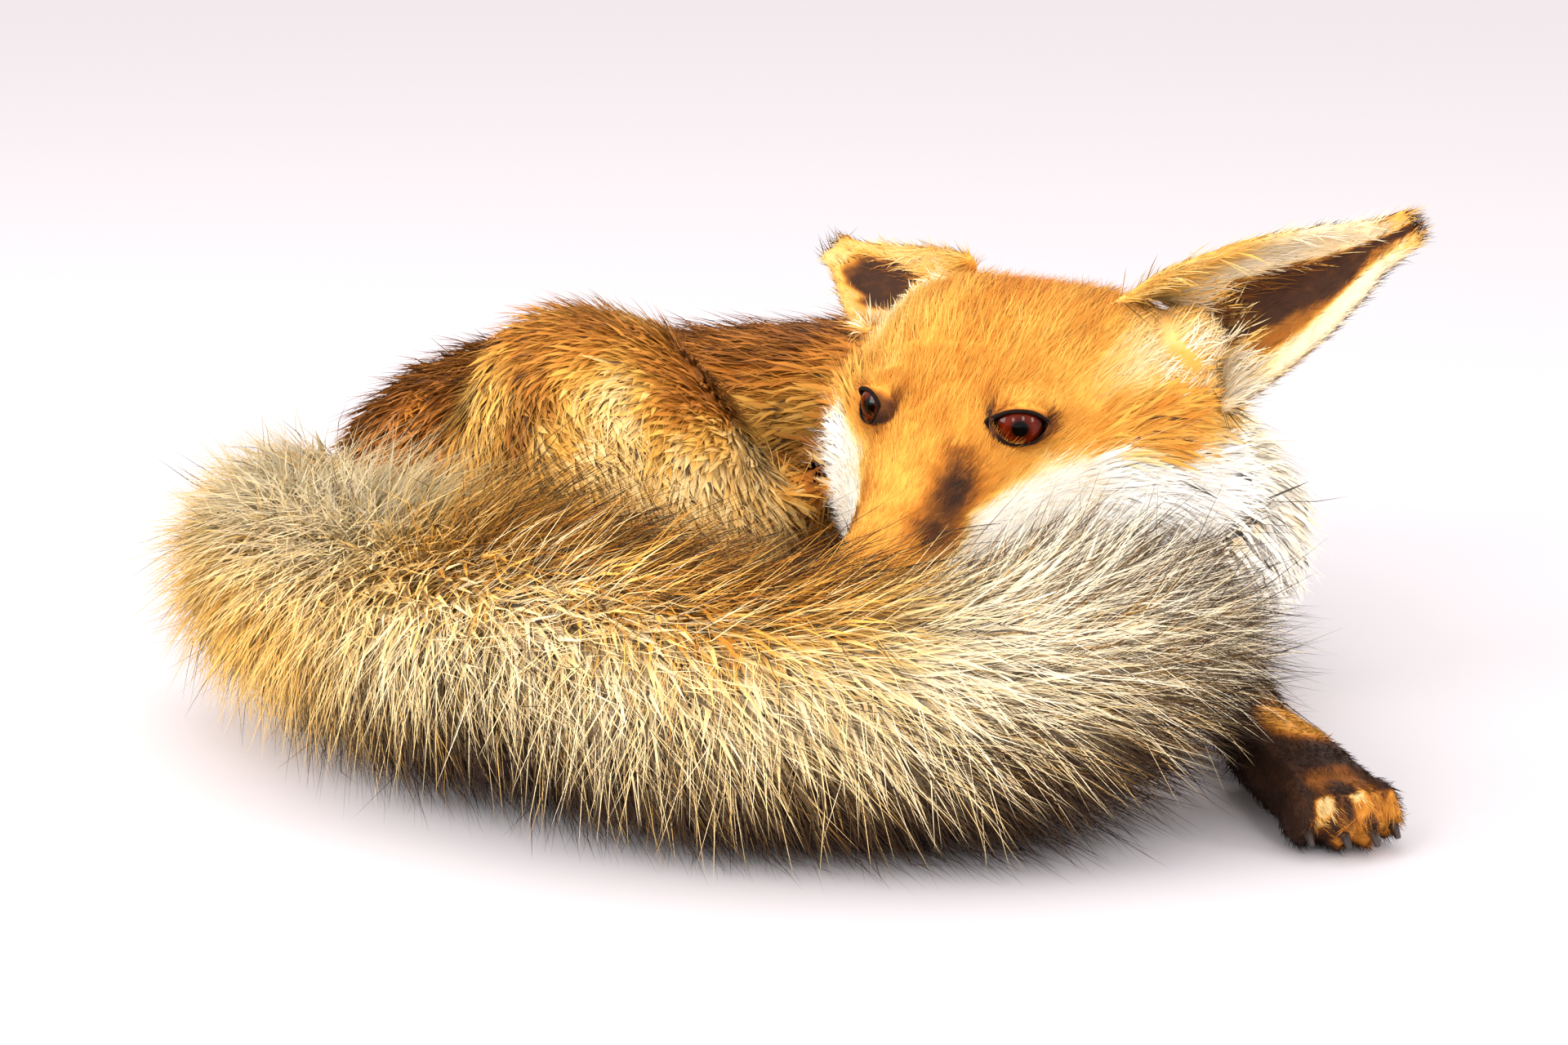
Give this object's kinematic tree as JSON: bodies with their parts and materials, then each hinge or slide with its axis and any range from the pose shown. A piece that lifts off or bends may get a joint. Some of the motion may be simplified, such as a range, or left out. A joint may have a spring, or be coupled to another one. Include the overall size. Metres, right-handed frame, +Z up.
{
  "type": "taxidermy fox",
  "caption": "Mounted red fox curled on its side at rest, head raised and turned outwards, with its long brush laid round the open side of the curl.",
  "frame": {"origin": "middle of the footprint box, at floor level", "axes": "+Z up; -Y is the side of the curl that the brush closes and the face looks over; +X is the side of the chest and the forepaw"},
  "size_m": [0.3774, 0.3928, 0.1599],
  "materials": {
    "coat_rufous": "orange-red guard hair over a paler undercoat",
    "coat_grizzled": "brown and buff grizzled fur",
    "coat_cream": "long cream and golden brush hair with dark tips",
    "coat_white": "soft white fur",
    "coat_dark": "dark brown to black fur",
    "ear_fur": "thin skin with short fur, dark inside",
    "claw_horn": "dull dark horn",
    "nose_leather": "pebbled dark skin",
    "eye_glass": "polished glass eye, red-brown iris"
  },
  "bodies": {
    "root": {"chest": "coat_grizzled", "claw_fore_left_1": "claw_horn", "claw_fore_left_2": "claw_horn", "claw_fore_left_3": "claw_horn", "claw_fore_left_4": "claw_horn", "claw_fore_right_1": "claw_horn", "claw_fore_right_2": "claw_horn", "claw_fore_right_3": "claw_horn", "claw_fore_right_4": "claw_horn", "claw_hind_left_1": "claw_horn", "claw_hind_left_2": "claw_horn", "claw_hind_left_3": "claw_horn", "claw_hind_left_4": "claw_horn", "claw_hind_right_1": "claw_horn", "claw_hind_right_2": "claw_horn", "claw_hind_right_3": "claw_horn", "claw_hind_right_4": "claw_horn", "ear_left": "ear_fur", "ear_right": "ear_fur", "eye_left": "eye_glass", "eye_right": "eye_glass", "forearm_fore_left": "coat_rufous", "forearm_fore_right": "coat_rufous", "head": "coat_rufous", "loin": "coat_grizzled", "neck": "coat_white", "nose": "nose_leather", "paw_fore_left": "coat_dark", "paw_fore_right": "coat_dark", "paw_hind_left": "coat_dark", "paw_hind_right": "coat_dark", "rump": "coat_grizzled", "shank_hind_left": "coat_rufous", "shank_hind_right": "coat_rufous", "tail_1": "coat_cream", "tail_2": "coat_cream", "tail_3": "coat_cream", "tail_4": "coat_cream", "tail_5": "coat_dark", "thigh_hind_left": "coat_grizzled", "thigh_hind_right": "coat_grizzled", "upper_arm_fore_left": "coat_grizzled", "upper_arm_fore_right": "coat_grizzled"}
  },
  "joints": []
}
